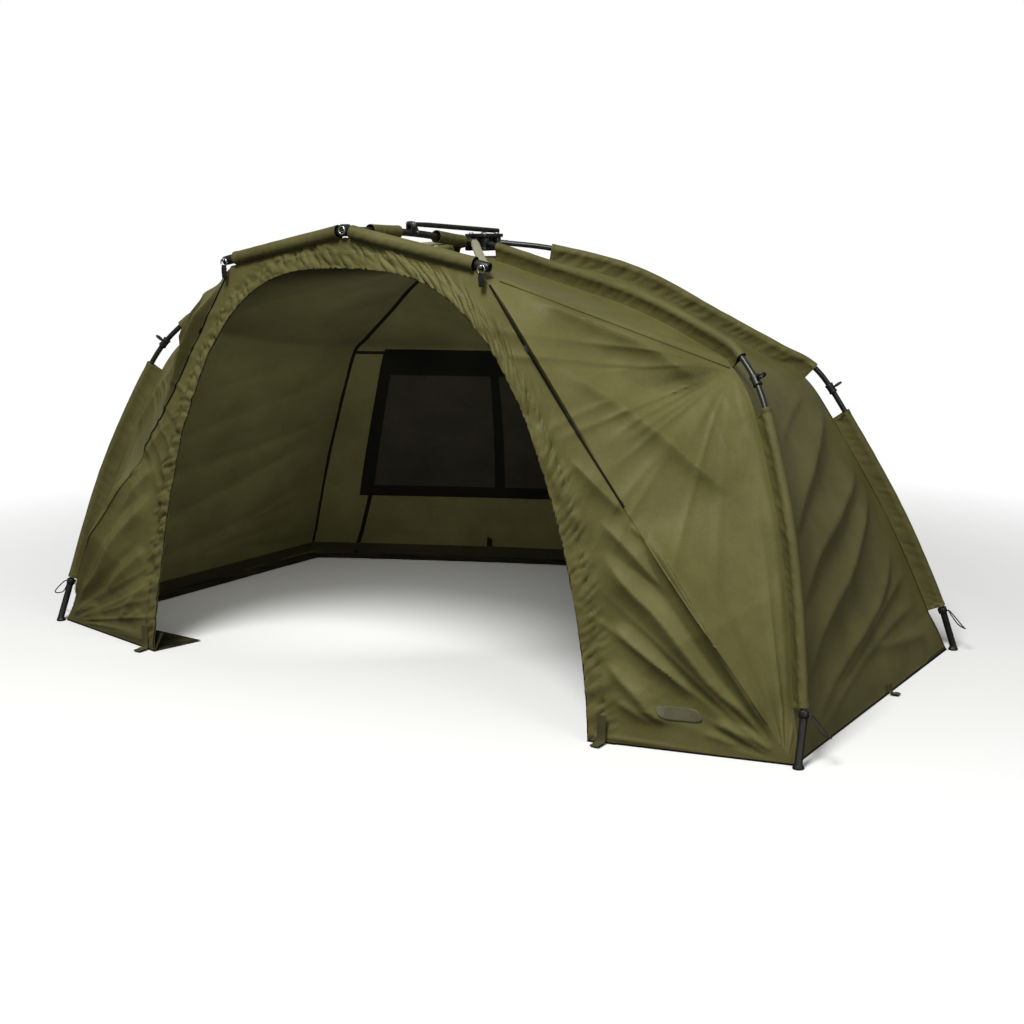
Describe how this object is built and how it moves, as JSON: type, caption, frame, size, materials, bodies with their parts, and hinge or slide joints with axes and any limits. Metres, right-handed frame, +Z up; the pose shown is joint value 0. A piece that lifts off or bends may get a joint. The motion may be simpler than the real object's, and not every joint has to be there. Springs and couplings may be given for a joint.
{
  "type": "fishing shelter",
  "caption": "Low oval fishing shelter of olive cloth over bent legs that fold at a hub, with an arched open doorway, a fold-down peak, a tension lever and a windowed back wall.",
  "frame": {"origin": "on the ground, at the middle of the shelter's footprint", "axes": "+X to the right along the shelter's long side as seen from the doorway, +Y towards the back wall, +Z up"},
  "size_m": [2.69, 1.8451, 1.2828],
  "materials": {
    "canopy_cloth": "coated woven polyester, slight sheen",
    "sleeve_cloth": "woven polyester",
    "black_cloth": "matt black binding cloth",
    "window_mesh_cloth": "fine dark mesh",
    "rib_tube": "matt grey-green",
    "black_tube": "black anodised",
    "black_plastic": "moulded, fine grain",
    "bright_pin": "plain steel",
    "black_cord": "braided elastic cord"
  },
  "bodies": {
    "hub_and_canopy": {"hub_base": "black_plastic", "hub_cap": "black_plastic", "arm_pin_front_left": "bright_pin", "arm_pin_front_right": "bright_pin", "arm_pin_rear_left": "bright_pin", "arm_pin_rear_right": "bright_pin", "peak_pin": "bright_pin", "side_wall_left": "canopy_cloth", "side_wall_right": "canopy_cloth", "roof_left": "canopy_cloth", "roof_right": "canopy_cloth", "front_wing_left": "canopy_cloth", "front_wing_right": "canopy_cloth", "door_surround": "canopy_cloth", "back_wall": "canopy_cloth", "window_frame": "black_cloth", "window_mesh": "window_mesh_cloth", "skirt": "black_cloth"},
    "leg_front_left": {"leg_tube_front_left": "black_tube", "foot_front_left": "black_plastic", "eye_collar_front_left": "black_plastic", "foot_cord_front_left": "black_cord", "sleeve_upper_front_left": "sleeve_cloth", "sleeve_lower_front_left": "sleeve_cloth"},
    "leg_front_right": {"leg_tube_front_right": "black_tube", "foot_front_right": "black_plastic", "eye_collar_front_right": "black_plastic", "foot_cord_front_right": "black_cord", "sleeve_upper_front_right": "sleeve_cloth", "sleeve_lower_front_right": "sleeve_cloth"},
    "leg_rear_left": {"leg_tube_rear_left": "black_tube", "foot_rear_left": "black_plastic", "eye_collar_rear_left": "black_plastic", "foot_cord_rear_left": "black_cord", "sleeve_upper_rear_left": "sleeve_cloth", "sleeve_lower_rear_left": "sleeve_cloth"},
    "leg_rear_right": {"leg_tube_rear_right": "black_tube", "foot_rear_right": "black_plastic", "eye_collar_rear_right": "black_plastic", "foot_cord_rear_right": "black_cord", "sleeve_upper_rear_right": "sleeve_cloth", "sleeve_lower_rear_right": "sleeve_cloth"},
    "peak": {"spine_tube": "black_tube", "spine_sleeve_front": "sleeve_cloth", "spine_sleeve_rear": "sleeve_cloth", "apex_fitting": "black_plastic", "peak_roof": "canopy_cloth", "peak_bar_left": "black_tube", "bar_sleeve_left": "sleeve_cloth", "peak_rib_left": "rib_tube", "corner_fitting_left": "black_plastic", "peak_bar_right": "black_tube", "bar_sleeve_right": "sleeve_cloth", "peak_rib_right": "rib_tube", "corner_fitting_right": "black_plastic"},
    "lever": {"tension_lever": "black_tube"},
    "clip_left": {"corner_clip_left": "black_plastic"},
    "clip_right": {"corner_clip_right": "black_plastic"}
  },
  "joints": [
    {"name": "leg_front_right_fold", "type": "hinge", "parent": "hub_and_canopy", "child": "leg_front_right", "pos_m": [0.024, -0.284, 1.218], "axis": [0, 0, 1], "range_deg": [0, 22], "deforming": ["side_wall_left", "side_wall_right", "roof_left", "roof_right", "front_wing_left", "front_wing_right", "door_surround", "back_wall", "window_frame", "window_mesh", "skirt"]},
    {"name": "leg_front_left_fold", "type": "hinge", "parent": "hub_and_canopy", "child": "leg_front_left", "pos_m": [-0.024, -0.284, 1.218], "axis": [0, 0, 1], "range_deg": [-22, 0]},
    {"name": "leg_rear_right_fold", "type": "hinge", "parent": "hub_and_canopy", "child": "leg_rear_right", "pos_m": [0.024, -0.22, 1.218], "axis": [0, 0, 1], "range_deg": [-22, 0]},
    {"name": "leg_rear_left_fold", "type": "hinge", "parent": "hub_and_canopy", "child": "leg_rear_left", "pos_m": [-0.024, -0.22, 1.218], "axis": [0, 0, 1], "range_deg": [0, 22]},
    {"name": "peak_fold", "type": "hinge", "parent": "hub_and_canopy", "child": "peak", "pos_m": [0, -0.314, 1.218], "axis": [1, 0, 0], "range_deg": [0, 85]},
    {"name": "lever_swing", "type": "hinge", "parent": "peak", "child": "lever", "pos_m": [0, -0.617, 1.27429], "axis": [1, 0, 0], "range_deg": [0, 110]},
    {"name": "clip_left_swing", "type": "hinge", "parent": "peak", "child": "clip_left", "pos_m": [-0.4308, -0.90985, 1.17605], "axis": [0, 1, 0], "range_deg": [-40, 40]},
    {"name": "clip_right_swing", "type": "hinge", "parent": "peak", "child": "clip_right", "pos_m": [0.4308, -0.90985, 1.17605], "axis": [0, 1, 0], "range_deg": [-40, 40]}
  ],
  "couplings": [
    {"joint": "leg_front_left_fold", "follows": "leg_front_right_fold", "ratio": -1},
    {"joint": "leg_rear_right_fold", "follows": "leg_front_right_fold", "ratio": -1},
    {"joint": "leg_rear_left_fold", "follows": "leg_front_right_fold", "ratio": 1},
    {"joint": "peak_fold", "follows": "leg_front_right_fold", "ratio": 3.863}
  ]
}
